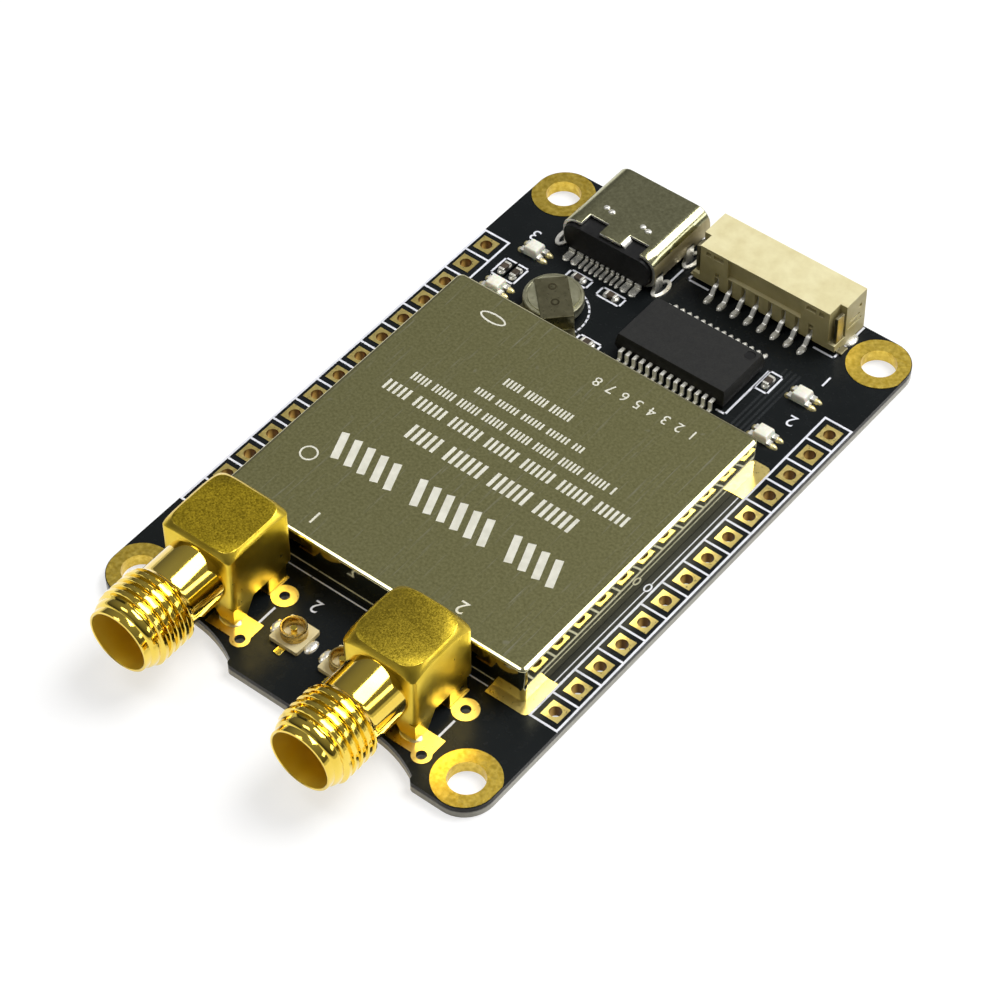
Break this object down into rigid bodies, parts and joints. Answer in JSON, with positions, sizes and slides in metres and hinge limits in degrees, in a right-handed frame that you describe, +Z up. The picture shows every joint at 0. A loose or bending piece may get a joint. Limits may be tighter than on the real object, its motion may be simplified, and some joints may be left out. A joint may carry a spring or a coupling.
{
  "type": "satellite receiver module",
  "caption": "Satellite receiver board with a shield can, right-angle screw-on antenna sockets, small push-on antenna sockets, an oval plug socket, a wire socket and plated pad rows.",
  "frame": {"origin": "middle of the board's underside, which is the centre of the four mounting holes", "axes": "+Z up from the board, +Y towards the plug and wire sockets, antenna sockets point to -Y"},
  "size_m": [0.035, 0.0603, 0.008],
  "materials": {
    "board_mask": "near-black solder mask with white print lines",
    "gold_plate": "satin gold plating",
    "can_sheet": "satin sheet with fine grain and scratches",
    "chip_epoxy": "matte moulding compound",
    "inner_lids": "plain lid",
    "coil_block": "ferrite block",
    "part_ceramic": "small fired body",
    "plug_sheet": "plated sheet steel",
    "black_plastic": "black moulding",
    "tinned_metal": "bright tin",
    "cream_plastic": "cream moulding",
    "cell_steel": "brushed steel with weld marks",
    "lamp_resin": "cloudy pale resin",
    "socket_gold": "polished gold plating, blasted block top",
    "socket_insulator": "white plastic",
    "small_base_plastic": "off-white moulding"
  },
  "bodies": {
    "root": {"board": "board_mask", "mount_eyelets": "gold_plate", "row_eyelets_left": "gold_plate", "row_eyelets_right": "gold_plate", "ground_pads": "gold_plate", "shield_can": "can_sheet", "receiver_chip": "chip_epoxy", "memory_chip": "chip_epoxy", "regulator_chip": "chip_epoxy", "interface_chip": "chip_epoxy", "clock_oscillator": "inner_lids", "band_filters": "inner_lids", "power_coil": "coil_block", "inner_capacitors": "part_ceramic", "chip_parts": "part_ceramic", "plug_shell": "plug_sheet", "plug_insulator": "black_plastic", "plug_contacts": "tinned_metal", "wire_contacts": "tinned_metal", "wire_tabs": "tinned_metal", "interface_leads": "tinned_metal", "lamp_bases": "tinned_metal", "chip_caps": "tinned_metal", "wire_housing": "cream_plastic", "backup_cell": "cell_steel", "cell_strip": "cell_steel", "cell_foot": "cell_steel", "lamp_lenses": "lamp_resin", "antenna_left_body": "socket_gold", "antenna_right_body": "socket_gold", "antenna_left_contact": "socket_gold", "antenna_right_contact": "socket_gold", "small_rings": "socket_gold", "small_pins": "socket_gold", "antenna_left_insulator": "socket_insulator", "antenna_right_insulator": "socket_insulator", "small_bases": "small_base_plastic"}
  },
  "joints": []
}
